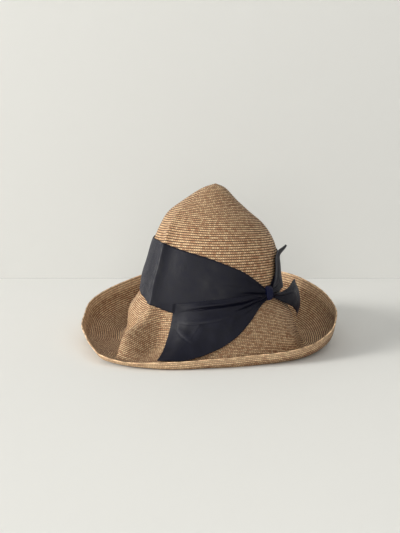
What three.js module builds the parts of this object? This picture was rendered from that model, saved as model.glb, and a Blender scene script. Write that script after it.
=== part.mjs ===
// Soft paper straw hat with a wide navy ribbon, in millimetres, +Z up, the front at -Y.
// The braid of the real hat is sewn in one spiral from the tip to the rim. Here the straw
// is three shells with small gaps: the crown down to the head line, the brim down to the
// ring the hat rests on, and the turned up edge of the brim.
// The whole straw form is one surface S(phi, t). phi is the angle round the hat, t runs down
// a meridian: 0 at the tip, 1 at the head line, 2 at the rim. Each meridian is a spline
// through the named levels below, and each ribbon is a sheet laid a small way above S.
import * as THREE from 'three';
import { mergeVertices } from 'three/addons/utils/BufferGeometryUtils.js';

// ---- driving dimensions ----
const WALL = 2.0;            // straw wall
const CLOTH = 1.0;           // ribbon thickness
const GAP = 0.3;             // open space between pieces that would touch
const LIFT = 0.8;            // ribbon face above the straw it lies on
const TIP = { x: 8, y: 8, z: 194 };
const LEVEL_Z = 40;          // height at which the foot of the wall is measured
const SQUARENESS = 2.25;     // crown sections are slightly square ovals
const CURL_TURN = 50;        // where the key point of the turned up edge sits, degrees of its turn
const REST_Z = 0.3;          // the lowest skin is flattened up to this height, where the hat rests
const SEGMENTS = 72;         // steps round the hat
const CROWN_ROWS = 18;
const BRIM_STEPS = [2, 3, 2, 1, 2, 2];   // rows between the key points of the brim
const EDGE_FROM = 4;         // the turned up edge starts at this key point of the brim

// crown sections from the top down: height, centre, half width across X, half depth along Y
const CROWN_COLUMNS = ['z', 'cx', 'cy', 'halfWidth', 'halfDepth'];
const CROWN_SECTIONS = [
  [189, 6.0, 7, 13.5, 14],
  [174, 1.0, 5, 33.0, 35],
  [159, -0.5, 3, 51.0, 55],
  [144, 3.5, 2, 64.5, 70],
  [124, 5.5, 1, 75.0, 81],
  [103, 5.0, 0, 80.5, 87],
  [83, 2.5, 0, 84.5, 91],
  [62, 1.0, 0, 87.5, 95],
];

// brim sections round the hat: radius of the wall foot at LEVEL_Z, the lowest point of the
// trough and half the width over which it lies flat, how hollow the way down to it is
// (0 straight, 1 like a bowl, under 0 bulging), and the rim
const BRIM_COLUMNS = ['phi', 'wall', 'trough', 'troughZ', 'flat', 'hollow', 'rim', 'rimZ'];
const BRIM_SECTIONS = [
  [0, 99, 124, 2.0, 5, 0.9, 158, 40],
  [30, 98, 128, 2.0, 5, 0.9, 166, 52],
  [50, 100, 131, 2.0, 5, 0.9, 177, 59],
  [70, 104, 134, 2.0, 5, 0.9, 178, 64],
  [90, 106, 134, 2.0, 5, 0.9, 176, 65],
  [115, 103, 132, 2.0, 5, 0.9, 178, 58],
  [135, 100, 130, 2.0, 5, 0.9, 174.5, 47],
  [157, 98, 124, 2.0, 5, 0.9, 169, 36],
  [180, 101, 120, 2.0, 5, 1.0, 159.5, 25],
  [200, 101, 118, 2.0, 5, 1.0, 160, 20],
  [216, 104, 119, 2.0, 4, 0.95, 167.5, 15],
  [226, 112, 156, 3.0, 3, -0.2, 173, 10.5],
  [237, 99, 151, 2.0, 3, 1.0, 170, 8],
  [248, 100, 152, 2.0, 2.5, 0.8, 161, 9],
  [257, 104, 147, 2.0, 2.5, 0.6, 153, 9.5],
  [270, 108, 139, 2.0, 2, 0.5, 145, 11],
  [287, 111, 137, 2.0, 2, 0.3, 142, 12],
  [303, 113, 140, 2.0, 2.5, 0.2, 150, 14],
  [316, 114, 142, 2.0, 3.5, 0.1, 157, 17.5],
  [330, 111, 135, 2.0, 5, 0.3, 162, 27],
  [345, 104, 128, 2.0, 5, 0.7, 159, 36],
];

// ridges pressed into the straw: angle, half width in degrees, from height to height, push out
const FOLD_COLUMNS = ['phi', 'width', 'top', 'bottom', 'push'];
const FOLDS = [
  [228, 8, 165, 30, 7.5],
];

// ribbon sheets: each row is a cross line of the sheet, from edge a to edge b, both as
// angle, meridian place and height above the straw
const SHEET_COLUMNS = ['phiA', 'tA', 'liftA', 'phiB', 'tB', 'liftB'];
const BAND = [
  [-42.9, 0.910, 1.0, -42.9, 0.985, 1.0],
  [-31, 0.815, LIFT, -31, 0.985, LIFT],
  [-18, 0.750, LIFT, -18, 0.990, LIFT],
  [5, 0.700, LIFT, 5, 0.990, LIFT],
  [40, 0.655, LIFT, 40, 0.990, LIFT],
  [90, 0.630, LIFT, 90, 0.985, LIFT],
  [150, 0.612, LIFT, 150, 0.985, LIFT],
  [202, 0.611, LIFT, 202, 0.995, LIFT],
  [224, 0.631, LIFT, 224, 1.035, LIFT],
  [246, 0.673, LIFT, 246, 1.120, LIFT],
  [264, 0.710, LIFT, 264, 1.150, LIFT],
  [282, 0.766, LIFT, 282, 1.120, LIFT],
  [294, 0.815, LIFT, 294, 1.070, LIFT],
  [303, 0.872, LIFT, 303, 1.030, LIFT],
  [310.05, 0.922, 1.0, 310.05, 0.985, 1.0],
];
const FRONT_TAIL = [
  [310.1, 0.965, 3.0, 310.1, 1.010, 3.0],
  [302, 0.958, 2.7, 303, 1.10, 2.6],
  [291, 0.962, 2.6, 294, 1.28, 1.8],
  [277, 0.975, 2.6, 283, 1.50, 1.6],
  [262, 0.990, 2.6, 271, 1.66, 1.6],
  [251, 1.005, 2.6, 257, 1.78, 1.6],
  [244.5, 1.015, 2.8, 246, 1.78, 1.6],
];
const UPRIGHT_END = [
  [-42.9, 0.920, 3.2, -42.7, 0.958, 3.4],
  [-38, 0.860, 2.3, -24, 0.945, 6.5],
  [-36, 0.800, 2.3, -14, 0.885, 3.2],
  [-34.5, 0.745, 2.2, -11, 0.815, 2.2],
  [-26, 0.698, 2.8, -9, 0.745, 2.2],
  [-14, 0.668, 12.5, -6, 0.692, 11.5],
];
const BACK_TAIL = [
  [-42.75, 0.970, 5.2, -42.75, 1.005, 3.0],
  [-31, 0.975, 8.5, -33, 1.080, 3.0],
  [-22, 0.955, 13.5, -24, 1.160, 4.0],
  [-14, 0.920, 17.0, -15, 1.240, 6.0],
  [-6, 0.915, 20.0, -5, 1.300, 6.5],
];
const TAIL_BOW = 7;   // how far the middle of the back tail's end stands out
const KNOT = { phi: 313.6, t: 0.958, length: 11, height: 16.5, depth: 7 };

const rad = THREE.MathUtils.degToRad;
const rows = (names, table) => table.map((r) => Object.fromEntries(names.map((n, i) => [n, r[i]])));
const crownRows = rows(CROWN_COLUMNS, CROWN_SECTIONS);
const brimRows = rows(BRIM_COLUMNS, BRIM_SECTIONS);
const foldRows = rows(FOLD_COLUMNS, FOLDS);

// smooth curve through a column of the brim table that never overshoots its rows
function roundTheHat(name, phi) {
  const n = brimRows.length;
  const angle = (i) => brimRows[((i % n) + n) % n].phi + 360 * Math.floor(i / n);
  const value = (i) => brimRows[((i % n) + n) % n][name];
  const at = ((phi % 360) + 360) % 360;
  let i = n - 1;
  while (i > 0 && angle(i) > at) i -= 1;
  const step = (k) => angle(k + 1) - angle(k);
  const slope = (k) => (value(k + 1) - value(k)) / step(k);
  const tangent = (k) => {
    const d0 = slope(k - 1), d1 = slope(k);
    if (d0 * d1 <= 0) return 0;
    const w1 = 2 * step(k) + step(k - 1), w2 = step(k) + 2 * step(k - 1);
    return (w1 + w2) / (w1 / d0 + w2 / d1);
  };
  const h = step(i), u = (at - angle(i)) / h, u2 = u * u, u3 = u2 * u;
  return (2 * u3 - 3 * u2 + 1) * value(i) + (u3 - 2 * u2 + u) * h * tangent(i)
    + (3 * u2 - 2 * u3) * value(i + 1) + (u3 - u2) * h * tangent(i + 1);
}

// outward push of the pressed ridges at an angle and height
function foldPush(phi, z) {
  let push = 0;
  for (const f of foldRows) {
    const k = THREE.MathUtils.clamp((f.top - z) / (f.top - f.bottom), 0, 1);
    const away = Math.abs(((phi - f.phi + 540) % 360) - 180);
    push += f.push * (1 - (2 * k - 1) ** 6) * Math.exp(-((away / f.width) ** 1.2));
  }
  return push;
}

// the key points of one meridian, from the tip to the rim
function keyPoints(phi) {
  const c = Math.cos(rad(phi)), s = Math.sin(rad(phi)), e = SQUARENESS;
  const polar = (r, z) => new THREE.Vector3(r * c, r * s, z);
  const points = [new THREE.Vector3(TIP.x, TIP.y, TIP.z)];
  for (const q of crownRows) {
    const oval = ((Math.abs(c) / q.halfWidth) ** e + (Math.abs(s) / q.halfDepth) ** e) ** (-1 / e);
    const r = oval + foldPush(phi, q.z);
    points.push(new THREE.Vector3(q.cx + r * c, q.cy + r * s, q.z));
  }
  const b = Object.fromEntries(BRIM_COLUMNS.slice(1).map((n) => [n, roundTheHat(n, phi)]));
  const wall = b.wall + foldPush(phi, LEVEL_Z);
  const a = rad(CURL_TURN);
  points.push(polar(wall, LEVEL_Z));
  points.push(polar(wall + (b.trough - b.flat - wall) * (0.62 - 0.28 * b.hollow),
    LEVEL_Z + (b.troughZ - LEVEL_Z) * (0.42 + 0.30 * b.hollow)));
  points.push(polar(b.trough - b.flat, b.troughZ));
  points.push(polar(b.trough + b.flat, b.troughZ));
  points.push(polar(b.trough + b.flat + (b.rim - b.trough - b.flat) * Math.sin(a),
    b.troughZ + (b.rimZ - b.troughZ) * (1 - Math.cos(a))));
  points.push(polar(b.rim, b.rimZ));
  return points;
}

// meridians as even steps of length from the tip to the head line and on to the rim
const meridians = new Map();
function meridian(phi) {
  const key = (((phi % 360) + 360) % 360).toFixed(4);
  if (!meridians.has(key)) {
    const keys = keyPoints(phi);
    const curve = new THREE.CatmullRomCurve3(keys, false, 'centripetal');
    const spans = keys.length - 1, head = CROWN_SECTIONS.length, fine = 24;
    const parts = [[0, head], [head, spans]].map(([from, to]) => {
      const points = [], length = [0];
      for (let i = 0; i <= (to - from) * fine; i += 1) {
        points.push(curve.getPoint(Math.min(1, (from + i / fine) / spans)));
        if (i) length.push(length[i - 1] + points[i].distanceTo(points[i - 1]));
      }
      return { points, length };
    });
    meridians.set(key, parts);
  }
  return meridians.get(key);
}
function S(phi, t) {
  const parts = meridian(phi), part = t <= 1 ? parts[0] : parts[1];
  const { points, length } = part, total = length[length.length - 1];
  const want = THREE.MathUtils.clamp(t <= 1 ? t : t - 1, 0, 1) * total;
  let lo = 0, hi = length.length - 1;
  while (hi - lo > 1) { const mid = (lo + hi) >> 1; if (length[mid] <= want) lo = mid; else hi = mid; }
  const k = (want - length[lo]) / (length[hi] - length[lo]);
  return points[lo].clone().lerp(points[hi], k);
}
// the places of the brim's key points on one meridian from one key to another, with even
// steps between them and half the gap left free at each cut
function brimPlaces(phi, fromKey, toKey) {
  const { length } = meridian(phi)[1], total = length[length.length - 1];
  const fine = (length.length - 1) / BRIM_STEPS.length, places = [];
  for (let k = fromKey; k < toKey; k += 1) {
    const from = length[k * fine], to = length[(k + 1) * fine];
    for (let i = 0; i < BRIM_STEPS[k]; i += 1) places.push(1 + (from + ((to - from) * i) / BRIM_STEPS[k]) / total);
  }
  places.push(1 + length[toKey * fine] / total);
  places[0] += GAP / 2 / total;
  if (toKey < BRIM_STEPS.length) places[places.length - 1] -= GAP / 2 / total;
  return places;
}
// the way out of the straw at a place
function N(phi, t) {
  const d = 1.5, e = 0.012, tt = THREE.MathUtils.clamp(t, 0.03, 1.985);
  const round = S(phi + d, tt).sub(S(phi - d, tt));
  const down = S(phi, tt + e).sub(S(phi, tt - e));
  return round.cross(down).negate().normalize();
}
const above = (phi, t, h) => S(phi, t).addScaledVector(N(phi, t), h);

// a closed solid from two skins of points; closed round the hat when `ring` is true
function solid(outer, inner, ring) {
  const nu = outer.length, nv = outer[0].length, index = [], xyz = [];
  for (const skin of [outer, inner]) for (const line of skin) for (const p of line) xyz.push(p.x, p.y, p.z);
  const id = (k, i, j) => k * nu * nv + (i % nu) * nv + j;
  const quad = (a, b, c, d) => index.push(a, b, c, a, c, d);
  const last = ring ? nu : nu - 1;
  for (let i = 0; i < last; i += 1) {
    for (let j = 0; j < nv - 1; j += 1) {
      quad(id(0, i, j), id(0, i, j + 1), id(0, i + 1, j + 1), id(0, i + 1, j));
      quad(id(1, i, j), id(1, i + 1, j), id(1, i + 1, j + 1), id(1, i, j + 1));
    }
    quad(id(0, i, 0), id(0, i + 1, 0), id(1, i + 1, 0), id(1, i, 0));
    quad(id(0, i, nv - 1), id(1, i, nv - 1), id(1, i + 1, nv - 1), id(0, i + 1, nv - 1));
  }
  if (!ring) {
    for (let j = 0; j < nv - 1; j += 1) {
      quad(id(0, 0, j), id(1, 0, j), id(1, 0, j + 1), id(0, 0, j + 1));
      quad(id(0, nu - 1, j), id(0, nu - 1, j + 1), id(1, nu - 1, j + 1), id(1, nu - 1, j));
    }
  }
  const geometry = new THREE.BufferGeometry();
  geometry.setAttribute('position', new THREE.Float32BufferAttribute(xyz, 3));
  geometry.setIndex(index);
  const closed = mergeVertices(geometry, 1e-3);
  // drop the flat triangles where a skin closes to one point
  const g = closed.getIndex().array, keep = [];
  for (let i = 0; i < g.length; i += 3) {
    if (g[i] !== g[i + 1] && g[i + 1] !== g[i + 2] && g[i] !== g[i + 2]) keep.push(g[i], g[i + 1], g[i + 2]);
  }
  closed.setIndex(keep);
  closed.computeVertexNormals();
  return closed;
}

const angles = Array.from({ length: SEGMENTS }, (_, i) => (i * 360) / SEGMENTS);
const spread = (from, to, n) => Array.from({ length: n + 1 }, (_, i) => from + ((to - from) * i) / n);

// both skins of a straw shell, with its rows at the places that placesOf gives for an angle
function strawShell(placesOf) {
  const outer = angles.map((phi) => placesOf(phi).map((t) => S(phi, t)));
  const inner = angles.map((phi) => placesOf(phi).map((t) => {
    const p = above(phi, t, -WALL);
    if (t === 0) p.set(TIP.x, TIP.y, TIP.z - WALL);
    p.z = Math.max(p.z, REST_Z);
    return p;
  }));
  return solid(outer, inner, true);
}

// a ribbon sheet through its cross lines, `along` steps long and `across` steps wide; with
// `even` its cross lines are stepped evenly round the hat, in step with the straw below;
// towards its far end its middle bows out from the straw by `bow`
function ribbonSheet(table, along, across, even = false, bow = 0) {
  const lines = rows(SHEET_COLUMNS, table);
  const edge = (p, t, l) => new THREE.CatmullRomCurve3(
    lines.map((r) => new THREE.Vector3(r[p], r[t] * 100, r[l])), false, 'centripetal');
  const a = edge('phiA', 'tA', 'liftA'), b = edge('phiB', 'tB', 'liftB');
  const atAngle = (curve, phi) => {
    let lo = 0, hi = 1;
    for (let k = 0; k < 40; k += 1) {
      const mid = (lo + hi) / 2;
      if (curve.getPoint(mid).x < phi) lo = mid; else hi = mid;
    }
    return curve.getPoint((lo + hi) / 2);
  };
  const first = lines[0].phiA, last = lines[lines.length - 1].phiA;
  const place = (curve, u) => (even ? atAngle(curve, first + (last - first) * u) : curve.getPoint(u));
  const skin = (extra) => spread(0, 1, along).map((u) => spread(0, 1, across).map((w) => {
    const q = place(a, u).lerp(place(b, u), w);
    return above(q.x, q.y / 100, q.z + extra + bow * u * Math.sin(Math.PI * w));
  }));
  return solid(skin(CLOTH), skin(0), false);
}

// the small wrap that gathers the ribbon: a cushion with rounded ends standing on the straw
function wrap() {
  const k = KNOT, at = S(k.phi, k.t), out = N(k.phi, k.t);
  const round = S(k.phi + 1, k.t).sub(S(k.phi - 1, k.t)).normalize();
  const down = out.clone().cross(round).normalize();
  const middle = at.clone().addScaledVector(out, k.depth / 2 + LIFT);
  const ring = (x, scale) => spread(0, 2 * Math.PI, 16).slice(0, 16).map((a) => middle.clone()
    .addScaledVector(round, x)
    .addScaledVector(down, (Math.sign(Math.cos(a)) * Math.abs(Math.cos(a)) ** 0.8 * scale * k.height) / 2)
    .addScaledVector(out, (Math.sign(Math.sin(a)) * Math.abs(Math.sin(a)) ** 0.8 * scale * k.depth) / 2));
  const rings = [[-0.5, 0.0], [-0.5, 0.84], [-0.4, 0.97], [0, 1], [0.4, 0.97], [0.5, 0.84], [0.5, 0.0]];
  const lines = rings.map(([x, s]) => ring(x * k.length, s));
  const xyz = [], index = [];
  for (const line of lines) for (const p of line) xyz.push(p.x, p.y, p.z);
  for (let i = 0; i < lines.length - 1; i += 1) {
    for (let j = 0; j < 16; j += 1) {
      const a = i * 16 + j, b = i * 16 + ((j + 1) % 16), c = a + 16, d = b + 16;
      index.push(a, b, d, a, d, c);
    }
  }
  const geometry = new THREE.BufferGeometry();
  geometry.setAttribute('position', new THREE.Float32BufferAttribute(xyz, 3));
  geometry.setIndex(index);
  const closed = mergeVertices(geometry, 1e-3);
  const g = closed.getIndex().array, keep = [];
  for (let i = 0; i < g.length; i += 3) {
    if (g[i] !== g[i + 1] && g[i + 1] !== g[i + 2] && g[i] !== g[i + 2]) keep.push(g[i], g[i + 1], g[i + 2]);
  }
  closed.setIndex(keep);
  closed.computeVertexNormals();
  return closed;
}

// signed volume, to turn a mesh that faces inward
function volume(geometry) {
  const p = geometry.getAttribute('position'), g = geometry.getIndex().array;
  const a = new THREE.Vector3(), b = new THREE.Vector3(), c = new THREE.Vector3();
  let v = 0;
  for (let i = 0; i < g.length; i += 3) {
    a.fromBufferAttribute(p, g[i]); b.fromBufferAttribute(p, g[i + 1]); c.fromBufferAttribute(p, g[i + 2]);
    v += a.dot(b.cross(c)) / 6;
  }
  return v;
}
function faceOut(geometry) {
  if (volume(geometry) > 0) return geometry;
  const g = Array.from(geometry.getIndex().array);
  for (let i = 0; i < g.length; i += 3) [g[i + 1], g[i + 2]] = [g[i + 2], g[i + 1]];
  geometry.setIndex(g);
  geometry.computeVertexNormals();
  return geometry;
}

const meanCrown = 174;   // length that turns the gap into a step of t
const parts = [
  ['crown', strawShell(() => spread(0, 1 - GAP / 2 / meanCrown, CROWN_ROWS)), 0xb89468],
  ['brim', strawShell((phi) => brimPlaces(phi, 0, EDGE_FROM)), 0xb89468],
  ['brim_edge', strawShell((phi) => brimPlaces(phi, EDGE_FROM, BRIM_STEPS.length)), 0xb89468],
  ['ribbon_band', ribbonSheet(BAND, 71, 4, true), 0x1c2030],
  ['ribbon_front_tail', ribbonSheet(FRONT_TAIL, 14, 9), 0x1c2030],
  ['ribbon_upright_end', ribbonSheet(UPRIGHT_END, 10, 5), 0x1c2030],
  ['ribbon_back_tail', ribbonSheet(BACK_TAIL, 8, 5, false, TAIL_BOW), 0x1c2030],
  ['ribbon_knot', wrap(), 0x1b2550],
];

const hat = new THREE.Group();
hat.name = 'paper_straw_hat';
const box = new THREE.Box3();
for (const [name, geometry, colour] of parts) {
  faceOut(geometry);
  const mesh = new THREE.Mesh(geometry, new THREE.MeshStandardMaterial({ color: colour, roughness: 0.8 }));
  mesh.name = name;
  geometry.computeBoundingBox();
  box.union(geometry.boundingBox);
  hat.add(mesh);
}
// the hat stands on z = 0 with its box centred on the origin
const shift = new THREE.Vector3(-(box.min.x + box.max.x) / 2, -(box.min.y + box.max.y) / 2, -box.min.z);
for (const mesh of hat.children) mesh.geometry.translate(shift.x, shift.y, shift.z);

export default hat;
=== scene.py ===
# %% [markdown]
# # A soft paper straw hat with a wide navy ribbon
# The hat is braided paper straw sewn in one long spiral, from the tip of the crown to the
# rim. This lesson builds it in millimetre terms on top of the measured frame: first one
# surface that every straw piece shares, then the stage and its light, then the braid with
# its finish, and last the ribbon laid over it and the knot. Lengths below are in millimetres
# until a mesh is made.

# %% Load the measured frame
import math

import bmesh
import bpy
import numpy as np
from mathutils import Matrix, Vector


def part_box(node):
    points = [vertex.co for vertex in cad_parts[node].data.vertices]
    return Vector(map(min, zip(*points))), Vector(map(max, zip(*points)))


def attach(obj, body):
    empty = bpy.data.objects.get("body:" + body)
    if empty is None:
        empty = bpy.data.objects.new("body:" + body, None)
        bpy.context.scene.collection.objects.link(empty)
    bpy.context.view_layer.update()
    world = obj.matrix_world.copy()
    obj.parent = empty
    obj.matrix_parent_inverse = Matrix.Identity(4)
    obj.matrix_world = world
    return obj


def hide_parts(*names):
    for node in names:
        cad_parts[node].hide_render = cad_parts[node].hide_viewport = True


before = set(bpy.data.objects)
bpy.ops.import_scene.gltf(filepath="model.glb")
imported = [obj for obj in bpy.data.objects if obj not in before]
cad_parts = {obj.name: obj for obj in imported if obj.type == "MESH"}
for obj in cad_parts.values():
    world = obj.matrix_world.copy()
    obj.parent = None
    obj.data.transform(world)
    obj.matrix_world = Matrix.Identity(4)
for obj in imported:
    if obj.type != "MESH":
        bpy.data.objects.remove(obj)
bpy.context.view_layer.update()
MM = 0.001

# %% [markdown]
# ## The straw form
# A soft hat has no straight part to measure from. It could be sculpted by hand, but then
# nothing on it would have a known size. Here it is a surface S(phi, t): phi is the angle
# round the hat, with 270 degrees at the front, and t runs down a meridian, 0 at the tip, 1
# at the head line, 2 at the rim. Two short tables give the levels of the crown and the
# sections of the brim, and a spline joins them, so every piece can be laid on the same form.

# %% The tables of the form
TIP = (8.0, 8.0, 194.0)
LEVEL_Z = 40.0          # height at which the brim's sections start
SQUARENESS = 2.25       # power of the crown's ovals, where 2 is a plain ellipse
CURL_TURN = 50.0        # degrees that the turned up edge bends through on its way out
WALL = 2.0              # thickness of the straw
# crown sections: height, centre x, centre y, half width, half depth
CROWN_SECTIONS = np.array([
    [189, 6.0, 7, 13.5, 14], [174, 1.0, 5, 33.0, 35], [159, -0.5, 3, 51.0, 55],
    [144, 3.5, 2, 64.5, 70], [124, 5.5, 1, 75.0, 81], [103, 5.0, 0, 80.5, 87],
    [83, 2.5, 0, 84.5, 91], [62, 1.0, 0, 87.5, 95]])
# brim sections: angle, wall radius at LEVEL_Z, trough radius, trough height, half its flat
# width, hollowness of the way down, rim radius, rim height
BRIM_SECTIONS = np.array([
    [0, 99, 124, 2.0, 5, 0.9, 158, 40], [30, 98, 128, 2.0, 5, 0.9, 166, 52],
    [50, 100, 131, 2.0, 5, 0.9, 177, 59], [70, 104, 134, 2.0, 5, 0.9, 178, 64],
    [90, 106, 134, 2.0, 5, 0.9, 176, 65], [115, 103, 132, 2.0, 5, 0.9, 178, 58],
    [135, 100, 130, 2.0, 5, 0.9, 174.5, 47], [157, 98, 124, 2.0, 5, 0.9, 169, 36],
    [180, 101, 120, 2.0, 5, 1.0, 159.5, 25], [200, 101, 118, 2.0, 5, 1.0, 160, 20],
    [216, 104, 119, 2.0, 4, 0.95, 167.5, 15], [226, 112, 156, 3.0, 3, -0.2, 173, 10.5],
    [237, 99, 151, 2.0, 3, 1.0, 170, 8], [248, 100, 152, 2.0, 2.5, 0.8, 161, 9],
    [257, 104, 147, 2.0, 2.5, 0.6, 153, 9.5], [270, 108, 139, 2.0, 2, 0.5, 145, 11],
    [287, 111, 137, 2.0, 2, 0.3, 142, 12], [303, 113, 140, 2.0, 2.5, 0.2, 150, 14],
    [316, 114, 142, 2.0, 3.5, 0.1, 157, 17.5], [330, 111, 135, 2.0, 5, 0.3, 162, 27],
    [345, 104, 128, 2.0, 5, 0.7, 159, 36]])
# the level halfway down to the trough: its share of the way out and of the way down, and
# how a hollow way down moves each
SLOPE_OUT, OUT_BY_HOLLOW = 0.62, -0.28
SLOPE_DOWN, DOWN_BY_HOLLOW = 0.42, 0.30
# ridges pressed into the straw: angle, half width in degrees, from height, to height, push;
# the second is the crest's own sharp edge, finer than the steps of the measured solid
FOLDS = np.array([[228, 8, 165, 30, 7.5], [229, 2.4, 170, 10, 2.0]])
FOLD_CUSP, FOLD_FADE = 1.2, 6    # powers: a ridge's section, and how late its ends fade
print(len(CROWN_SECTIONS), "crown sections and", len(BRIM_SECTIONS), "brim sections")


# %% Meridians through the tables
def round_the_hat(column, phi):
    """A column of the brim table at any angle: a cubic through its rows, with slopes from the
    harmonic mean of the neighbouring slopes, so that it never overshoots a row."""
    a, v = BRIM_SECTIONS[:, 0], BRIM_SECTIONS[:, column]
    a = np.concatenate([a[-2:] - 360, a, a[:2] + 360])
    v = np.concatenate([v[-2:], v, v[:2]])
    h = np.diff(a)
    d = np.diff(v) / h
    w1, w2 = 2 * h[1:] + h[:-1], h[1:] + 2 * h[:-1]
    same = d[1:] * d[:-1] > 0
    safe = np.where(same, d[:-1], 1), np.where(same, d[1:], 1)
    slope = np.zeros_like(v)
    slope[1:-1] = np.where(same, (w1 + w2) / (w1 / safe[0] + w2 / safe[1]), 0)
    at = np.mod(phi, 360)
    i = np.clip(np.searchsorted(a, at, side="right") - 1, 1, len(a) - 3)
    u = (at - a[i]) / h[i]
    return ((2 * u**3 - 3 * u**2 + 1) * v[i] + (u**3 - 2 * u**2 + u) * h[i] * slope[i]
            + (3 * u**2 - 2 * u**3) * v[i + 1] + (u**3 - u**2) * h[i] * slope[i + 1])


def fold_push(phi, z):
    """How far the pressed ridges stand out: a soft cusp in angle, faded at both its ends."""
    push = 0
    for at, width, top, bottom, out in FOLDS:
        k = np.clip((top - z) / (top - bottom), 0, 1)
        away = np.abs(np.mod(phi - at + 180, 360) - 180)
        cusp = np.exp(-((away / width) ** FOLD_CUSP))
        push = push + out * (1 - (2 * k - 1) ** FOLD_FADE) * cusp
    return push


def key_points(phi):
    """The named levels of each meridian, as an array (level, angle, xyz): the tip, an oval
    for each crown section, then the wall, slope, trough and curled edge of the brim."""
    c, s = np.cos(np.radians(phi)), np.sin(np.radians(phi))
    one = np.ones_like(c)
    levels = [np.stack([TIP[0] * one, TIP[1] * one, TIP[2] * one], -1)]
    for z, cx, cy, half_width, half_depth in CROWN_SECTIONS:
        oval = ((np.abs(c) / half_width) ** SQUARENESS
                + (np.abs(s) / half_depth) ** SQUARENESS) ** (-1 / SQUARENESS)
        r = oval + fold_push(phi, z)
        levels.append(np.stack([cx + r * c, cy + r * s, z * one], -1))
    wall, trough, low, flat, hollow, rim, high = (round_the_hat(k, phi) for k in range(1, 8))
    wall = wall + fold_push(phi, LEVEL_Z)
    turn = math.radians(CURL_TURN)
    brim = [(wall, LEVEL_Z * one),
            (wall + (trough - flat - wall) * (SLOPE_OUT + OUT_BY_HOLLOW * hollow),
             LEVEL_Z + (low - LEVEL_Z) * (SLOPE_DOWN + DOWN_BY_HOLLOW * hollow)),
            (trough - flat, low), (trough + flat, low),
            (trough + flat + (rim - trough - flat) * math.sin(turn),
             low + (high - low) * (1 - math.cos(turn))),
            (rim, high)]
    return np.stack(levels + [np.stack([r * c, r * s, z], -1) for r, z in brim])


def centripetal(keys, steps):
    """A centripetal Catmull-Rom curve through keys (n, m, k), `steps` points to a span. The
    knots are a square root of the distance apart, which keeps it from looping or
    overshooting."""
    p = np.concatenate([2 * keys[:1] - keys[1:2], keys, 2 * keys[-1:] - keys[-2:-1]])
    gap = np.maximum(np.linalg.norm(np.diff(p, axis=0), axis=-1, keepdims=True), 1e-9) ** 0.5
    p0, p1, p2, p3 = p[:-3], p[1:-2], p[2:-1], p[3:]
    d0, d1, d2 = gap[:-2], gap[1:-1], gap[2:]
    m1 = ((p1 - p0) / d0 - (p2 - p0) / (d0 + d1) + (p2 - p1) / d1) * d1
    m2 = ((p2 - p1) / d1 - (p3 - p1) / (d1 + d2) + (p3 - p2) / d2) * d1
    u = np.linspace(0, 1, steps, endpoint=False)[None, :, None, None]
    a, b, m, n = p1[:, None], p2[:, None], m1[:, None], m2[:, None]
    curve = a + m * u + (3 * b - 3 * a - 2 * m - n) * u**2 + (2 * a - 2 * b + m + n) * u**3
    return np.concatenate([curve.reshape(-1, *keys.shape[1:]), keys[-1:]])


print("meridian levels:", key_points(np.array([270.0]))[:, 0, 1:].round(0).tolist())

# %% [markdown]
# ## One table of the whole surface
# Every piece asks the surface for thousands of points. Working the spline out each time is
# slow, so it is sampled once on a fine grid of angle and length, and read back between the
# grid's points. The same grid gives the way out of the straw at each point. A few slow waves
# of under half a millimetre are added, since handled straw is never quite smooth.

# %% Sample the surface once
ANGLES = 1440                   # steps round the hat
HALF = 600                      # steps of t on each side of the head line
SPAN = 24                       # spline points between two levels
HEAD = len(CROWN_SECTIONS)      # the level that is the head line
EDGE = HEAD + 4                 # the level where the turned up edge starts
FRAME_ANGLES = 72               # steps round the hat of the measured crown
# slow waves of the straw: height, waves round the hat, radians down each half, phase
SLOW_WAVES = [(0.22, 3, 5.1, 0.4), (0.16, 7, -8.3, 2.0), (0.10, 13, 11.0, 1.1)]
WAVES_FADE = 4                  # the waves are whole from t = 1/4 on, so that the tip is clean


def even_rows(curve):
    """Points at even lengths along each column of a curve (n, m, 3), and the lengths. All
    columns are read with one interpolation, by laying their lengths end to end, each further
    on than any is long."""
    step = np.linalg.norm(np.diff(curve, axis=0), axis=-1)
    s = np.concatenate([np.zeros((1, step.shape[1])), np.cumsum(step, 0)])
    total, far = s[-1], 1e4 * np.arange(step.shape[1])
    want = np.linspace(0, 1, HALF + 1)[:, None] * total
    flat = (s + far).T.ravel()
    rows = [np.interp((want + far).T.ravel(), flat, curve[..., k].T.ravel()) for k in range(3)]
    return np.stack(rows, -1).reshape(step.shape[1], HALF + 1, 3).transpose(1, 0, 2), s


def outward(points):
    """The unit way out of a grid (t, phi, xyz) that closes round the hat: the cross product of
    the step round and the step down, turned so that it leaves the hat, and up at the tip."""
    around = np.roll(points, -1, 1) - np.roll(points, 1, 1)
    down = np.gradient(points, axis=0)
    n = np.cross(down, around)
    n /= np.linalg.norm(n, axis=-1, keepdims=True) + 1e-12
    if n[HALF, 0, 0] < 0:
        n = -n
    n[0] = (0, 0, 1)
    return n


angle = np.arange(ANGLES) * 360 / ANGLES
fine_meridians = centripetal(key_points(angle), SPAN)
crown_rows, crown_s = even_rows(fine_meridians[: HEAD * SPAN + 1])
brim_rows, brim_s = even_rows(fine_meridians[HEAD * SPAN:])
FORM = np.concatenate([crown_rows, brim_rows[1:]])
CROWN_LENGTH, BRIM_LENGTH = crown_s[-1], brim_s[-1]
EDGE_T = 1 + brim_s[(EDGE - HEAD) * SPAN] / BRIM_LENGTH
OUT = outward(FORM)
tt, pp = np.meshgrid(np.arange(2 * HALF + 1) / HALF, np.radians(angle), indexing="ij")
waves = sum(high * np.sin(count * pp + down * tt + phase)
            for high, count, down, phase in SLOW_WAVES)
FORM = FORM + OUT * (waves * np.clip(tt * WAVES_FADE, 0, 1))[..., None]

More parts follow.
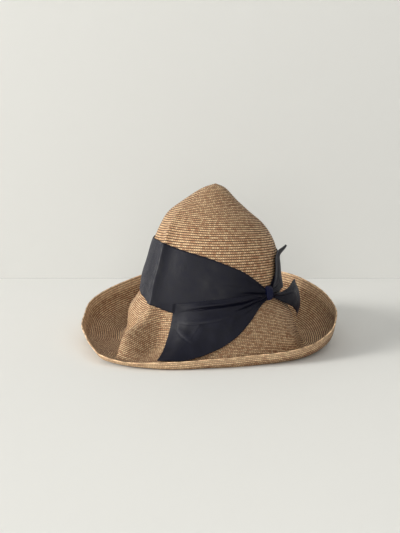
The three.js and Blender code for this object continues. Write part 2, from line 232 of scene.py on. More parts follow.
# the frame's crown says where the form stands: same box, so same place
ring = FORM[HALF, :: ANGLES // FRAME_ANGLES]
box_low, box_high = (np.array(v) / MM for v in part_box("crown"))
middle = (box_low + box_high)[:2] / 2 - (ring.min(0) + ring.max(0))[:2] / 2
SHIFT = np.array([*middle, box_high[2] - TIP[2]])
FORM = FORM + SHIFT
print("shift", SHIFT.round(2), "meridians", (CROWN_LENGTH + BRIM_LENGTH).min().round(0), "to",
      (CROWN_LENGTH + BRIM_LENGTH).max().round(0), "mm")


# %% Read the table back
def between(table, phi, t):
    """A value of a table (t, phi, ...) between its grid points, linear in both directions."""
    y = np.clip(t, 0, 2) * HALF
    x = np.mod(phi, 360) * ANGLES / 360
    j, i = np.minimum(y.astype(int), 2 * HALF - 1), x.astype(int) % ANGLES
    v, u = (y - j)[..., None], (x - np.floor(x))[..., None]
    i1 = (i + 1) % ANGLES
    return ((table[j, i] * (1 - u) + table[j, i1] * u) * (1 - v)
            + (table[j + 1, i] * (1 - u) + table[j + 1, i1] * u) * v)


def straw_at(phi, t, height):
    """A point `height` mm above the straw at an angle and a place on the meridian."""
    n = between(OUT, phi, t)
    n /= np.linalg.norm(n, axis=-1, keepdims=True)
    return between(FORM, phi, t) + n * np.asarray(height)[..., None]


def round_value(values, phi):
    """A value per angle of the table, read between its angles."""
    return np.interp(np.mod(phi, 360), np.append(angle, 360), np.append(values, values[0]))


# %% [markdown]
# ## A mesh from grids
# Each piece is one or more grids of points. This helper welds them into one mesh, turns it to
# face out, keeps the UV map that follows the braid or the ribbon, hangs the piece under the
# frame's root, and hides the measured solid that it stands for.

# %% The mesh helper
WELD, SLIVER = 2e-7, 1e-7    # metres: points closer than this are one, edges shorter go
SHARP = 72                   # degrees between two faces that still look smooth


def quads(rows, columns, start=0):
    """Corner numbers of each square of a grid of rows by columns, counted along the rows."""
    j, i = np.meshgrid(np.arange(rows - 1), np.arange(columns - 1), indexing="ij")
    a = start + j * columns + i
    return np.stack([a, a + 1, a + columns + 1, a + columns], -1).reshape(-1, 4)


def make_piece(name, points, faces, uv, material, stands_for):
    """A welded mesh in metres from points in mm, a list of faces and one UV pair per corner."""
    mesh = bpy.data.meshes.new(name)
    mesh.from_pydata((points * MM).tolist(), [], faces)
    layer = mesh.uv_layers.new(name="weave")
    layer.data.foreach_set("uv", uv.reshape(-1).astype(np.float32))
    bm = bmesh.new()
    bm.from_mesh(mesh)
    bmesh.ops.remove_doubles(bm, verts=bm.verts, dist=WELD)
    bmesh.ops.dissolve_degenerate(bm, edges=bm.edges, dist=SLIVER)
    if bm.calc_volume(signed=True) < 0:
        bmesh.ops.reverse_faces(bm, faces=bm.faces)
    open_edges = sum(1 for e in bm.edges if not e.is_manifold)
    bm.to_mesh(mesh)
    bm.free()
    mesh.polygons.foreach_set("use_smooth", [True] * len(mesh.polygons))
    mesh.set_sharp_from_angle(angle=math.radians(SHARP))
    piece = bpy.data.objects.new(name, mesh)
    bpy.context.scene.collection.objects.link(piece)
    mesh.materials.append(material)
    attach(piece, "root")
    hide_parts(*stands_for)
    triangles = sum(len(p.vertices) - 2 for p in mesh.polygons)
    print(f"{name}: {triangles} triangles, {open_edges} open edges")
    return piece


# %% [markdown]
# ## Camera, floor and light
# The hat stands on a pale floor before a pale wall, a little below eye level. The outlines of
# rim and crown fix the view: 9 degrees down from just under a metre away. A sun lamp would
# give hard edges, so one large soft area at the left stands in for the window. Two weak ones
# and the pale world fill the shadows, as the rest of a room does.

# %% Colour helper
def linear(hex_colour):
    """Linear RGBA of an sRGB hex colour: the usual 2.4 power curve with its straight toe."""
    s = np.array([int(hex_colour[k:k + 2], 16) / 255 for k in (1, 3, 5)])
    return (*np.where(s <= 0.04045, s / 12.92, ((s + 0.055) / 1.055) ** 2.4), 1.0)


# %% Node helpers
def add(tree, kind, settings=None, **links):
    """One node of a kind, with settings by property or input name, and links by input name
    or number (as in0, in1): a link is a node, whose first output is used, or a socket."""
    node = tree.nodes.new(kind)
    for key, value in (settings or {}).items():
        if isinstance(key, int) or (key in node.inputs and not hasattr(node, key)):
            node.inputs[key].default_value = value
        else:
            setattr(node, key, value)
    for key, source in links.items():
        key = int(key[2:]) if key[:2] == "in" and key[2:].isdigit() else key.replace("_", " ")
        if not isinstance(source, bpy.types.NodeSocket):
            source = source.outputs[0]
        tree.links.new(source, node.inputs[key])
    return node


def calc(tree, operation, values=None, **links):
    """A Math node: its operation, fixed values by input number, and links as above."""
    return add(tree, "ShaderNodeMath", {"operation": operation, **(values or {})}, **links)


def remap(tree, value, span, to=(0.0, 1.0), kind="LINEAR"):
    """A Map Range node: the value's two ends, and what they become."""
    return add(tree, "ShaderNodeMapRange", {
        "interpolation_type": kind, "From Min": span[0], "From Max": span[1],
        "To Min": to[0], "To Max": to[1]}, Value=value)


def blend(tree, share, start, end):
    """The colour output of a Mix node between two ends, each a hex colour or a socket."""
    node = add(tree, "ShaderNodeMix", {"data_type": "RGBA"}, in0=share)
    for number, colour in ((6, start), (7, end)):
        if isinstance(colour, str):
            node.inputs[number].default_value = linear(colour)
        else:
            tree.links.new(colour, node.inputs[number])
    return node.outputs[2]


def new_material(name):
    """A material with an empty tree, its output and a Principled shader joined to it."""
    material = bpy.data.materials.new(name)
    material.use_nodes = True
    tree = material.node_tree
    tree.nodes.clear()
    shader = add(tree, "ShaderNodeBsdfPrincipled")
    add(tree, "ShaderNodeOutputMaterial", Surface=shader)
    return material, tree, shader


# %% Camera and stage
CAMERA_AT = (-11.5, -921.4, 236.0)    # mm from the middle of the form
CAMERA_DOWN = 9                       # degrees below the level
WALL_Y, BOARD = 0.415, (12, 6, 1)     # metres: where the wall stands, and a board's size
FLOOR_Z = -0.0002                     # metres: just under the straw, so that they never mix

camera = bpy.data.objects.new("camera", bpy.data.cameras.new("camera"))
bpy.context.scene.collection.objects.link(camera)
camera.data.lens, camera.data.sensor_width = 50, 36
camera.location = (np.array(CAMERA_AT) + SHIFT) * MM
camera.rotation_euler = (math.radians(90 - CAMERA_DOWN), 0, 0)
camera.data.clip_start, camera.data.clip_end = 0.05, 60
bpy.context.scene.camera = camera
bpy.context.scene.view_settings.view_transform = "Standard"


def painted_board(name, place, tilt, colour):
    """A board of the stage in matt paint, its middle at a place in metres."""
    bpy.ops.mesh.primitive_plane_add(size=1, location=place, rotation=(tilt, 0, 0))
    board = bpy.context.object
    board.name, board.scale = name, BOARD
    material, _, shader = new_material(f"pale_{name}_paint")
    shader.inputs["Base Color"].default_value = linear(colour)
    shader.inputs["Roughness"].default_value = 0.7
    board.data.materials.append(material)
    return board


floor = painted_board("floor", (0, WALL_Y - BOARD[1] / 2, FLOOR_Z), 0, "#d8d8d5")
wall = painted_board("wall", (0, WALL_Y, BOARD[1] / 2), math.pi / 2, "#cacac7")

world = bpy.data.worlds.new("pale_room")
world.use_nodes = True
sky = world.node_tree.nodes["Background"]
sky.inputs["Color"].default_value = linear("#f4f6fa")
sky.inputs["Strength"].default_value = 0.30
bpy.context.scene.world = world


def soft_light(name, size, energy, place, aim):
    """A square area light of a size in metres and a power in watts, turned to face a point."""
    light = bpy.data.objects.new(name, bpy.data.lights.new(name, "AREA"))
    light.data.shape, light.data.size, light.data.energy = "SQUARE", size, energy
    light.data.color = linear("#fffdf8")[:3]
    light.location = place
    way = np.array(place, float) - aim
    light.rotation_euler = (math.acos(way[2] / np.linalg.norm(way)), 0,
                            math.atan2(way[1], way[0]) + math.pi / 2)
    bpy.context.scene.collection.objects.link(light)


soft_light("window", 2.6, 560, (-6.1, -1.3, 2.1), (0, 0, 0.10))
soft_light("ceiling", 2.6, 14, (1.3, -1.0, 2.5), (0.3, -0.1, 0))
soft_light("room", 1.8, 50, (-0.3, -2.8, 0.45), (0, 0, 0.02))
print("camera at", [round(v, 3) for v in camera.location])

# %% [markdown]
# ## Paper straw
# Paper straw is twisted paper cord, plaited flat into a braid about 4 mm wide and sewn row on
# row so that about 3 mm of each shows. The eye sees three things: a dark line where one row
# laps the next, painted in as shade; the small slanting strands of the plait, with painted
# shade between them; and cords that differ a little in tone, partly their own tone and partly
# painted glints of single strands. All three follow the braid, so the material reads the
# piece's own UV map: u is millimetres along the braid and v counts rows. An image could do it,
# but would not follow the spiral.

# %% Paper straw finish
CROWN_ROWS = 58    # rows of braid from the tip to the head line
ROWS = 109         # rows of braid from the tip to the rim
EDGE_ROWS = 4      # rows at the rim that are sewn thicker
STRAND = 2.7       # mm of braid to one crossing strand: a little coarse so that it shows
LEAN = 1.8         # strands that a row's slant goes through: 0.9 from the middle to each edge
ROW_STEP = 0.37    # strands by which each row starts its plait further on


def paper_straw(name, light, painted_lap_shade, tint, edge_tint):
    """Braided paper straw. Strand pattern: a slanting stripe that turns back at the middle of
    each row, which is a plait's herringbone. The stripe and the row's lapped edge multiply into
    one height, which drives colour and bump together: where the height is low, in the laps and
    between the strands, the colour is painted shade."""
    material, tree, shader = new_material(name)
    uv = add(tree, "ShaderNodeUVMap", {"uv_map": "weave"})
    part = add(tree, "ShaderNodeSeparateXYZ", Vector=uv)
    along, across = part.outputs["X"], part.outputs["Y"]
    row = calc(tree, "FLOOR", in0=across)
    inside = calc(tree, "FRACT", in0=across)
    from_middle = calc(tree, "ABSOLUTE", in0=calc(tree, "SUBTRACT", {1: 0.5}, in0=inside))
    # strands: the length in strands, plus the row's slant, plus the row's own start
    slant = calc(tree, "MULTIPLY_ADD", {1: LEAN}, in0=from_middle,
                 in2=calc(tree, "MULTIPLY", {1: 1 / STRAND}, in0=along))
    slant = calc(tree, "MULTIPLY_ADD", {1: ROW_STEP}, in0=row, in2=slant)
    strand = calc(tree, "PINGPONG", {1: 0.5}, in0=calc(tree, "FRACT", in0=slant))
    strand = remap(tree, strand, (0.0, 0.34), kind="SMOOTHSTEP")
    # the lap is low at the row's edges, and the colour there is painted shade
    lap = remap(tree, from_middle, (0.5, 0.09), kind="SMOOTHSTEP")
    height = calc(tree, "MULTIPLY", in0=lap, in1=remap(tree, strand, (0.0, 1.0), (0.22, 1.0)))
    # tone: one value per strand, partly the cords' own tone and partly painted glints of single
    # strands, and a slower change along the cord
    which = add(tree, "ShaderNodeCombineXYZ", in0=calc(tree, "FLOOR", in0=slant), in1=row)
    strand_tone_and_glint = add(tree, "ShaderNodeTexWhiteNoise", {"noise_dimensions": "2D"}, Vector=which)
    slow_place = add(tree, "ShaderNodeCombineXYZ",
                     in0=calc(tree, "MULTIPLY", {1: 0.045}, in0=along),
                     in1=calc(tree, "MULTIPLY", {1: 0.8}, in0=row))
    slow = add(tree, "ShaderNodeTexNoise", {"noise_dimensions": "2D", "Scale": 1.0,
               "Detail": 2.0}, Vector=slow_place)
    tone = calc(tree, "MULTIPLY_ADD", {1: 0.66}, in0=strand_tone_and_glint.outputs["Value"],
                in2=remap(tree, slow.outputs[0], (0.3, 0.7), (0.1, 0.26)))
    cord = blend(tree, tone, tint, light)
    # the edge rows are lighter, and lap so tightly that their lines of painted shade nearly
    # close
    first_edge_row = ROWS - EDGE_ROWS
    edge = remap(tree, across, (first_edge_row - 0.2, first_edge_row + 0.3), (0.0, 0.22))
    cord = blend(tree, edge, cord, edge_tint)
    closed = calc(tree, "MULTIPLY", in0=edge, in1=calc(tree, "SUBTRACT", {0: 1.0}, in1=height))
    shade = calc(tree, "MULTIPLY_ADD", {1: 1.3}, in0=closed, in2=height)
    # where the height is low, in the laps and between the strands, the colour falls to painted
    # shade
    tree.links.new(blend(tree, shade, painted_lap_shade, cord), shader.inputs["Base Color"])
    rough = remap(tree, height, (0.0, 1.0), (0.85, 0.55))
    tree.links.new(rough.outputs[0], shader.inputs["Roughness"])
    bump = add(tree, "ShaderNodeBump", {"Strength": 0.8, "Distance": 0.5 * MM}, Height=height)
    tree.links.new(bump.outputs[0], shader.inputs["Normal"])
    shader.inputs["IOR"].default_value = 1.45
    return material


# the darkest colour is painted shade for the laps and the gaps between strands
straw = paper_straw("braided_paper_straw", light="#ffdcab", painted_lap_shade="#2c1409", tint="#a87048",
                    edge_tint="#f6dcb8")


# %% [markdown]
# ## Rows of braid
# Sewn braid is a spiral, so a ring of rows that closes on itself would be wrong. The grid's
# lines follow the spiral instead: each turn ends one row further down than it began. Every
# row is cut to a lapped profile, a slow rise and a quick drop to the next row. The rows are
# even along each meridian, and the last four at the rim are wider.

# %% One skin of straw
RIM, NEAR_RIM = 2.0, 1.985    # t of the rim, and a place just inside it
RIM_ROUND = 0.7               # mm that the rim's edge is rounded out
PROBES = 4001                 # places at which the rows are counted
TIP_FADE = 12                 # the laps are whole from t = 1/12 on
STRIP_U = 3.0                 # mm of braid to a step along a cut edge


def row_to_t(row):
    """Place on the meridian at a row number: even over the crown, so that its rows lie level,
    and even over the brim, with the edge rows a little wider."""
    wide, on_brim = 0.12, ROWS - CROWN_ROWS
    over = row - CROWN_ROWS + wide * np.clip(row - (ROWS - EDGE_ROWS), 0, None)
    brim = over / (on_brim + wide * EDGE_ROWS)
    return np.where(row < CROWN_ROWS, row / CROWN_ROWS, 1 + brim)


def straw_skin(t_from, t_to, columns, profile, height):
    """Points, faces and UV of one skin between two places on the meridians. Line j of the grid
    is row floor(j / q) at the profile's j mod q share of the row, plus one row per turn. Beyond
    the cuts the lines are held on the cut, so that their faces close up and fall away."""
    share, relief = (np.array(v, float) for v in zip(*profile))
    i = np.arange(columns + 1)
    phi = 360.0 * i / columns
    t0, t1 = (round_value(v, phi) if np.ndim(v) else np.full(columns + 1, float(v))
              for v in (t_from, t_to))
    probe = np.linspace(0, ROWS, PROBES)
    rows_at = [np.interp(t, row_to_t(probe), probe) for t in (t0, t1)]
    first, last = int(rows_at[0].min()) - 2, int(rows_at[1].max()) + 2
    numbers = np.arange(first, last + 1)
    row = np.add.outer(numbers, share).reshape(-1, 1) + i / columns
    held = np.clip(row_to_t(np.clip(row, 0, ROWS)), t0, t1)
    held_row = np.clip(row, rows_at[0], rows_at[1])
    bump = np.interp(held_row - np.floor(held_row), np.append(share, 1),
                     np.append(relief, relief[0]))
    bump = bump * np.clip(held * TIP_FADE, 0, 1)
    points = straw_at(np.broadcast_to(phi, held.shape), held, height + bump)
    q = len(share)
    ahead = np.linalg.norm(np.diff(points[::q], axis=1), axis=-1)
    run = np.concatenate([np.zeros((len(numbers), 1)), np.cumsum(ahead, 1)], 1)
    run += np.concatenate([[0], np.cumsum(run[:-1, -1])])[:, None]
    faces = quads(len(row), columns + 1)
    j, k = faces[:, 0] // (columns + 1), faces[:, 0] % (columns + 1)
    u0, u1 = run[j // q, k], run[j // q, k + 1]
    v_low = numbers[j // q] + share[j % q]
    v_high = numbers[j // q] + np.append(share, 1.0)[j % q + 1]
    uv = np.stack([np.stack([u0, v_low], -1), np.stack([u1, v_low], -1),
                   np.stack([u1, v_high], -1), np.stack([u0, v_high], -1)], 1)
    return points, faces, uv


def straw_piece(name, t_from, t_to, columns, outer_profile, inner_profile, stands_for):
    """A straw shell: an upper skin, a lower skin a wall's thickness below, and a rounded edge
    that joins them along each cut."""
    top, top_faces, top_uv = straw_skin(t_from, t_to, columns, outer_profile, 0.0)
    low, low_faces, low_uv = straw_skin(t_from, t_to, columns, inner_profile, -WALL)
    low[..., 2] = np.maximum(low[..., 2], 0.0)
    ends = [(top[-1], low[-1], True)]
    if np.ndim(t_from) or t_from > 0:
        ends.insert(0, (top[0], low[0], False))
    points = [top.reshape(-1, 3), low.reshape(-1, 3)]
    start = len(points[0])
    faces = [top_faces, low_faces[:, ::-1] + start]
    uvs = [top_uv, low_uv[:, ::-1]]
    start += len(points[1])
    for a, b, lower in ends:
        middle = (a + b) / 2
        if lower and np.ndim(t_to) == 0 and t_to == RIM:
            near = straw_at(np.linspace(0, 360, columns + 1), np.full(columns + 1, NEAR_RIM),
                            -WALL / 2)
            away = middle - near
            middle = middle + RIM_ROUND * away / np.linalg.norm(away, axis=-1, keepdims=True)
        points.append(np.concatenate([a, middle, b]))
        f = quads(3, columns + 1, start)
        faces.append(f if lower else f[:, ::-1])
        along = (f[:, 0] % (columns + 1))[:, None] * STRIP_U
        uvs.append(np.stack([np.repeat(along, 4, 1), np.full(f.shape, ROWS - 0.5)], -1))
        start += len(points[-1])
    make_piece(name, np.concatenate(points), np.concatenate(faces).tolist(),
               np.concatenate(uvs), straw, stands_for)


# a row's profile: share of the row from its upper edge, and height of the surface there
LAPPED = [(0.0, -0.42), (0.42, -0.12), (0.80, 0.0), (0.94, -0.16)]
FLAT_LINE = [(0.0, 0.0)]
SHALLOW = [(0.0, -0.25), (0.5, 0.0)]
LAPPED_BELOW = [(share, -0.5 * relief) for share, relief in LAPPED]
straw_piece("crown_braid", 0.0, 1.0, 320, LAPPED, FLAT_LINE, ["crown"])
straw_piece("brim_braid", 1.0, EDGE_T, 420, LAPPED, SHALLOW, ["brim"])
straw_piece("brim_edge_braid", EDGE_T, RIM, 480, LAPPED, LAPPED_BELOW, ["brim_edge"])

# %% [markdown]
# ## The ribbon
# The ribbon is one length of navy grosgrain, 70 mm wide, laid round the crown, pulled
# together at the right of the front and tied there, with its ends left free. A cloth
# simulation would settle it, but not into these folds. Each piece is a sheet between two
# edges instead, and each edge is a short table of places on the straw. Between the edges the
# cloth gets the folds that the tie pulls into it: sharp pleats at the knot that fade out
# along the ribbon, and a few long creases of their own.

# %% The edges of each ribbon
L = 0.8            # how far the cloth lies over the straw, in mm
# each row: angle, t and lift of the upper edge, then of the lower edge
BAND = [
    [-42.9, .910, 1, -42.9, .985, 1], [-31, .815, L, -31, .985, L],
    [-18, .750, L, -18, .990, L], [5, .700, L, 5, .990, L], [40, .655, L, 40, .990, L],
    [90, .630, L, 90, .985, L], [150, .612, L, 150, .985, L], [202, .611, L, 202, .995, L],
    [224, .631, L, 224, 1.035, L], [246, .673, L, 246, 1.120, L],
    [264, .710, L, 264, 1.150, L], [282, .766, L, 282, 1.120, L],
    [294, .815, L, 294, 1.070, L], [303, .872, L, 303, 1.030, L],
    [310.05, .922, 1, 310.05, .985, 1]]
FRONT_TAIL = [
    [310.1, .965, 3, 310.1, 1.010, 3], [302, .958, 2.7, 303, 1.10, 2.6],
    [291, .962, 2.6, 294, 1.28, 1.8], [277, .975, 2.6, 283, 1.50, 1.6],
    [262, .990, 2.6, 271, 1.66, 1.6], [251, 1.005, 2.6, 257, 1.78, 1.6],
    [244.5, 1.015, 2.8, 246, 1.78, 1.6]]
UPRIGHT_END = [
    [-42.9, .920, 3.2, -42.7, .958, 3.4], [-38, .860, 2.3, -24, .945, 6.5],
    [-36, .800, 2.3, -14, .885, 3.2], [-34.5, .745, 2.2, -11, .815, 2.2],
    [-26, .698, 2.8, -9, .745, 2.2], [-14, .668, 12.5, -6, .692, 11.5]]
BACK_TAIL = [
    [-42.75, .970, 5.2, -42.75, 1.005, 3], [-31, .975, 8.5, -33, 1.080, 3],
    [-22, .955, 13.5, -24, 1.160, 4], [-14, .920, 17, -15, 1.240, 6],
    [-6, .915, 20, -5, 1.300, 6.5]]
TAIL_BOW = 7       # how far the middle of the back tail's end stands out
THICK = 0.75       # thickness of the cloth
UNDER = 0.15       # how far its inner skin lies above its lift
LIP = 0.25         # how far its rounded selvage stands out
EDGE_STEPS = 60    # spline points between two rows of a table
T_SCALE = 100      # weighs t against degrees in the spline


def smooth(x):
    """The cubic that rises from 0 to 1 with level ends, held outside."""
    x = np.clip(x, 0, 1)
    return x * x * (3 - 2 * x)


def crease(phi, y, width, rows):
    """Height from a table of creases. Each is a line in angle and share of the width; beside
    it the cloth dips in a sharp groove and swells in a soft ridge on its upper side: a
    narrow bell taken from a wide one, faded at both ends of the line."""
    total = np.zeros_like(phi)
    for phi_a, y_a, phi_b, y_b, bow, depth, reach in rows:
        k = (phi - phi_a) / (phi_b - phi_a)
        line = y_a + (y_b - y_a) * k + bow * 4 * k * (1 - k)
        away = (y - line) * width
        fade = smooth(k / 0.12) * smooth((1 - k) / 0.45) * (k > 0) * (k < 1)
        groove = -np.exp(-((away / (0.30 * reach)) ** 2))
        ridge = np.exp(-(((away + 0.9 * reach) / reach) ** 2))
        total = total + depth * fade * (0.9 * groove + ridge)
    return total


def selvage(outer, inner, edge, beside):
    """Points of the rounded edge between two skins, LIP further out than the cloth runs."""
    out = outer[:, edge] - outer[:, beside]
    return (outer[:, edge] + inner[:, edge]) / 2 + LIP * out / (
        np.linalg.norm(out, axis=-1, keepdims=True) + 1e-9)


def ribbon_sheet(name, table, steps, across, gather, creases, extra, bow=0):
    """A ribbon between two edges. The edges are even in length; between them the cloth is
    straight, plus pleats |sin| that are deepest at the gathered end, plus creases and its own
    extra waves. It has two skins and a rounded selvage."""
    keys = np.array(table, float).reshape(len(table), 2, 3) * (1, T_SCALE, 1)
    curve = centripetal(keys, EDGE_STEPS)
    place = straw_at(curve[..., 0], curve[..., 1] / T_SCALE, curve[..., 2]).mean(1)
    run = np.concatenate([[0], np.cumsum(np.linalg.norm(np.diff(place, axis=0), axis=-1))])
    even = np.interp(np.linspace(0, run[-1], steps + 1), run, np.arange(len(run)))
    i = np.minimum(even.astype(int), len(curve) - 2)
    edges = curve[i] + (curve[i + 1] - curve[i]) * (even - i)[:, None, None]
    y = np.linspace(0, 1, across + 1)
    grid = edges[:, None, 0] + (edges[:, None, 1] - edges[:, None, 0]) * y[None, :, None]
    phi, t = grid[..., 0], grid[..., 1] / T_SCALE
    lift = grid[..., 2] + bow * np.linspace(0, 1, steps + 1)[:, None] * np.sin(np.pi * y)
    flat = straw_at(phi, t, lift)
    width = np.linalg.norm(np.diff(flat, axis=1), axis=-1).sum(1)[:, None] * np.ones_like(phi)
    yy = np.broadcast_to(y, phi.shape)
    count, deep, fade_from, fade_to, phase = gather
    pull = smooth((phi - fade_to) / (fade_from - fade_to))
    wobble = 0.35 * np.sin(9 * yy + 1.7 * phase) + 0.15 * np.sin(0.21 * phi + 5 * yy)
    pleats = np.abs(np.sin(np.pi * (count * yy + wobble + phase))) ** 0.75
    creased = np.maximum(crease(phi, yy, width, creases), -0.8 * lift)
    rise = deep * pull**1.3 * (0.35 + pleats) + creased + extra(phi, yy)
    outer = straw_at(phi, t, lift + UNDER + THICK + rise)
    inner = straw_at(phi, t, lift + UNDER + rise)
    # a ring round the section: outer skin, rounded edge, inner skin back, rounded edge
    low_edge = selvage(outer, inner, slice(-1, None), slice(-2, -1))
    top_edge = selvage(outer, inner, slice(0, 1), slice(1, 2))
    ring = np.concatenate([outer, low_edge, inner[:, ::-1], top_edge, outer[:, :1]], 1)
    rows, columns = ring.shape[:2]
    faces = quads(rows, columns)
    along = np.concatenate([[0], np.cumsum(
        np.linalg.norm(np.diff(flat.mean(1), axis=0), axis=-1))])
    gap = np.linalg.norm(np.diff(outer, axis=1), axis=-1)
    cross = np.concatenate([np.zeros((rows, 1)), np.cumsum(gap, 1)], 1)
    v = np.concatenate([cross, cross[:, -1:] + 0.2, cross[:, ::-1], cross[:, :1] - 0.2,
                        cross[:, :1]], 1)
    uv = np.stack([np.broadcast_to(along[:, None], v.shape), v], -1).reshape(-1, 2)
    # each end is closed by a strip of squares between the skins and a triangle at each edge
    caps = []
    for first, turned in ((0, False), ((rows - 1) * columns, True)):
        a = first + np.arange(across)
        b = first + 2 * across + 2 - np.arange(across)
        cap = np.stack([a, b, b - 1, a + 1], -1).tolist() + [
            [first + across, first + across + 2, first + across + 1],
            [first + 2 * across + 2, first, first + 2 * across + 3]]
        caps += cap if turned else [corners[::-1] for corners in cap]
    loops = np.concatenate([uv[faces].reshape(-1, 2), uv[np.concatenate(caps)]])
    piece = make_piece(name + "_cloth", ring.reshape(-1, 3), faces.tolist() + caps, loops,
                       navy, [name])
    step_along, step_across = outer[1:, :-1] - outer[:-1, :-1], outer[:-1, 1:] - outer[:-1, :-1]
    area = np.linalg.norm(np.cross(step_along, step_across), axis=-1).sum()
    print(f"  {name} runs {along[-1]:.0f} mm, {width.min():.0f} to {width.max():.0f} mm wide,",
          f"{area / 100:.0f} cm2")
    return piece


# %% [markdown]
# ## Grosgrain
# Grosgrain is a ribbon with heavy cross threads: fine ribs run straight across it, close on
# two to the millimetre, and its edges are woven firm. Polyester thread gives it a soft
# sheen, brightest where the cloth turns towards the light. The ribs are a sine along the
# ribbon's own length, so they bend with it; they are drawn at 0.8 mm, which is the finest
# that still shows. Wear is a slow change in tone and roughness.

# %% Grosgrain finish
RIB = 0.8    # mm from rib to rib


def grosgrain(name, colour, worn):
    """Ribbed ribbon: a sine of the length sets the ribs, a noise stretched along the ribs gives
    each its own tone, and a slow noise in tone and roughness shows handling."""
    material, tree, shader = new_material(name)
    uv = add(tree, "ShaderNodeUVMap", {"uv_map": "weave"})
    part = add(tree, "ShaderNodeSeparateXYZ", Vector=uv)
    turns = calc(tree, "MULTIPLY", {1: 2 * math.pi / RIB}, in0=part.outputs["X"])
    ribs = calc(tree, "SINE", in0=turns)
    stretched = add(tree, "ShaderNodeMapping", {"Scale": (1 / RIB, 0.08, 1)}, Vector=uv)
    thread = add(tree, "ShaderNodeTexNoise", {"Scale": 1.0, "Detail": 3.0}, Vector=stretched)
    handled = add(tree, "ShaderNodeTexNoise", {"Scale": 0.09, "Detail": 3.0,
                  "Roughness": 0.6}, Vector=uv)
    tone = calc(tree, "MULTIPLY_ADD", {1: 0.5}, in0=thread.outputs[0],
                in2=calc(tree, "MULTIPLY", {1: 0.6}, in0=handled.outputs[0]))
    tree.links.new(blend(tree, remap(tree, tone, (0.35, 0.75)), colour, worn),
                   shader.inputs["Base Color"])
    rough = remap(tree, handled.outputs[0], (0.3, 0.7), (0.42, 0.62))
    tree.links.new(rough.outputs[0], shader.inputs["Roughness"])
    height = calc(tree, "MULTIPLY_ADD", {1: 0.35}, in0=ribs, in2=thread.outputs[0])
    bump = add(tree, "ShaderNodeBump", {"Strength": 0.35, "Distance": 0.15 * MM},
               Height=height)
    tree.links.new(bump.outputs[0], shader.inputs["Normal"])
    shader.inputs["IOR"].default_value = 1.30
    shader.inputs["Sheen Weight"].default_value = 0.06
    shader.inputs["Sheen Roughness"].default_value = 0.35
    shader.inputs["Sheen Tint"].default_value = linear("#7f86bb")
    return material


navy = grosgrain("navy_grosgrain", colour="#04040e", worn="#0a0b1b")
knot_navy = grosgrain("navy_grosgrain_wrap", colour="#03071f", worn="#080e34")

# %% [markdown]
# ## The folds of each ribbon
# The folds are placed one by one from the tie outwards. The band has four long creases, and one
# sharp fold over the straw's ridge. The long tail carries two deep creases from the tie, four
# shallow ones and a few soft waves where it has been pressed. Each short end has one crease
# along its middle.

# %% Lay the ribbons
def tail_waves(phi, y):
    """Soft waves across the long tail, and its upper corner curled off the band at the cut."""
    press = (0.5 * np.sin(0.50 * phi + 8 * y) * np.sin(5 * y - 0.16 * phi)
             * smooth((y - 0.35) / 0.3))
    near_cut = smooth((246.6 - phi) / 2)
    return press * smooth((300 - phi) / 20) + 0.5 + 1.6 * near_cut * smooth((0.16 - y) / 0.12)


def band_waves(phi, y):
    """The band's own sharp fold where the straw is pressed to a ridge, and a slow ripple."""
    away = np.abs(np.mod(phi, 360) - 229.5 + 1.5 * y)
    fold = 1.4 * np.exp(-away / 3.2) * smooth((1.15 - y) / 0.3)
    return fold + 0.25 * (1 + np.sin(0.13 * phi + 4 * y))


def end_waves(phi, y):
    """One soft wave along a free end."""
    return 0.5 * np.sin(6 * y + 0.12 * phi)


# after its table, each has its steps along and across, then its pleats: how many, how deep,
# from angle, to angle, phase; then its creases: from angle, share; to angle, share; bow; depth
# and reach in mm
band = ribbon_sheet(
    "ribbon_band", BAND, 420, 44, (4, 1.7, 311, 286, 0.15),
    [(312, .50, 286, .50, 0.0, 1.3, 3.0), (312, .30, 262, .36, 0.03, 0.55, 4.5),
     (312, .78, 292, .70, 0.0, 0.9, 3.0), (-44, .45, -12, .52, 0.0, 1.0, 3.5)],
    band_waves)
front_tail = ribbon_sheet(
    "ribbon_front_tail", FRONT_TAIL, 150, 90, (3, 1.8, 311, 290, 0.4),
    [(311, .22, 247, .13, -0.02, 2.6, 3.4), (311, .45, 282, .37, 0.0, 2.2, 2.8),
     (284, .49, 246, .25, 0.05, 0.5, 2.6), (306, .72, 286, .62, 0.0, 0.6, 4.0),
     (250, .42, 264, .84, 0.0, 0.26, 4.6), (265, .46, 254, .82, 0.0, 0.22, 3.6)],
    tail_waves)
upright_end = ribbon_sheet(
    "ribbon_upright_end", UPRIGHT_END, 110, 44, (2, 1.0, -44, -26, 0.3),
    [(-43, .5, -14, .45, 0.0, 0.8, 2.5)], end_waves)
back_tail = ribbon_sheet(
    "ribbon_back_tail", BACK_TAIL, 90, 44, (2, 1.0, -44, -24, 0.1),
    [(-43, .6, -12, .55, 0.0, 0.9, 2.5)], end_waves, bow=TAIL_BOW)

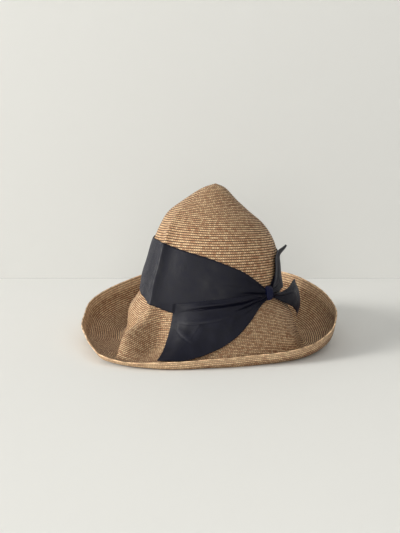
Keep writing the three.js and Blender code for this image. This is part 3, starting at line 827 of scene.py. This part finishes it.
# %% [markdown]
# ## The knot
# The tie is a short piece of the same ribbon wrapped once round the gathered cloth, so it is
# a small firm barrel with creases that run round it. It is one closed surface: a rounded
# box from a superellipse, with the creases pressed into the side that faces out.

# %% Wrap the knot
END_POWER, SIDE_POWER = 0.35, 0.75    # the wrap's square ends, and its rounder section


def signed_power(value, p):
    """A power that keeps the sign."""
    return np.sign(value) * np.abs(value) ** p


def knot_wrap(name, phi0, t0, length, height, depth, across=96, around=72):
    """A superellipsoid laid on the straw. Creases are a sine of x with a slow bend along y,
    deepest on the outside."""
    a = np.linspace(-np.pi / 2, np.pi / 2, across + 1)[:, None]
    b = np.linspace(0, 2 * np.pi, around + 1)[None]
    x = signed_power(np.sin(a), END_POWER) * np.ones_like(b)
    y = signed_power(np.cos(a), END_POWER) * signed_power(np.cos(b), SIDE_POWER)
    z = signed_power(np.cos(a), END_POWER) * signed_power(np.sin(b), SIDE_POWER)
    bend = 2.2 * x + 0.25 * np.sin(2.2 * y + 1) + 0.1
    creases = 0.32 * np.sin(2 * np.pi * bend) * np.cos(a) ** 0.5
    swell = 1 + 0.05 * np.cos(np.pi * x)
    centre = np.array([phi0]), np.array([t0])
    origin = straw_at(*centre, np.array([L + depth / 2]))[0]
    out = between(OUT, *centre)[0]
    side = straw_at(centre[0] + 1, centre[1], 0)[0] - straw_at(centre[0] - 1, centre[1], 0)[0]
    side -= out * (side @ out)
    side, out = side / np.linalg.norm(side), out / np.linalg.norm(out)
    up = np.cross(out, side)
    if up[2] < 0:
        up = -up
    points = (origin + side * (x * length / 2)[..., None]
              + up * (y * height / 2 * swell)[..., None]
              + out * (z * (depth / 2 + creases * (z > 0)) * swell)[..., None])
    faces = quads(across + 1, around + 1)
    u = np.broadcast_to(b * height / 2.6, x.shape)
    uv = np.stack([u, x * length / 2], -1).reshape(-1, 2)[faces]
    return make_piece(name + "_wrap", points.reshape(-1, 3), faces.tolist(), uv,
                      knot_navy, [name])


knot = knot_wrap("ribbon_knot", 313.6, 0.958, 11.5, 16.5, 7)
